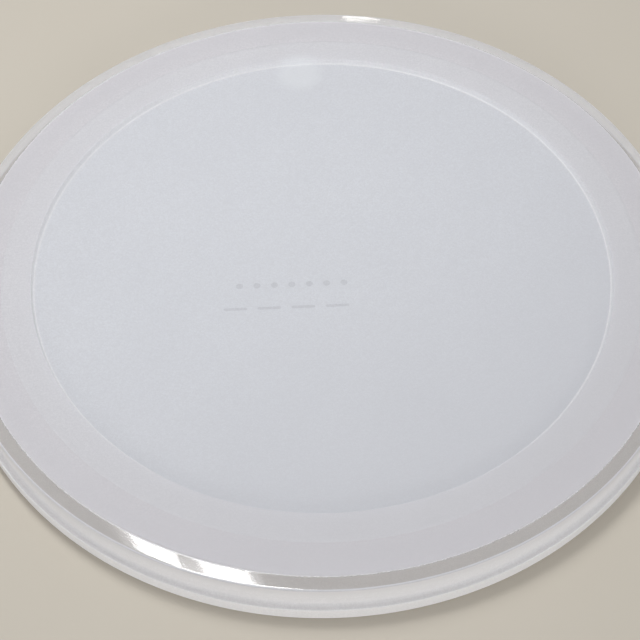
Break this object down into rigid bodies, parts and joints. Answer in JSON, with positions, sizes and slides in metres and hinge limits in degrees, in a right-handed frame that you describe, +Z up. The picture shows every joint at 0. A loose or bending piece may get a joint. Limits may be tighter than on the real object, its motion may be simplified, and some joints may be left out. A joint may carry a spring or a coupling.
{
  "type": "quartz plate",
  "caption": "Round fused quartz plate with a blasted face, a shallow central recess, a clear polished rim band and a stepped flange.",
  "frame": {"origin": "centre of the flat underside that the plate rests on", "axes": "+Z up through the thickness along the turning axis, towards the blasted face"},
  "size_m": [0.3, 0.3, 0.0168],
  "materials": {
    "quartz": "fused quartz, blasted to a translucent white, with a clear polished band at the rim"
  },
  "bodies": {
    "root": {"quartz_plate": "quartz"}
  },
  "joints": []
}
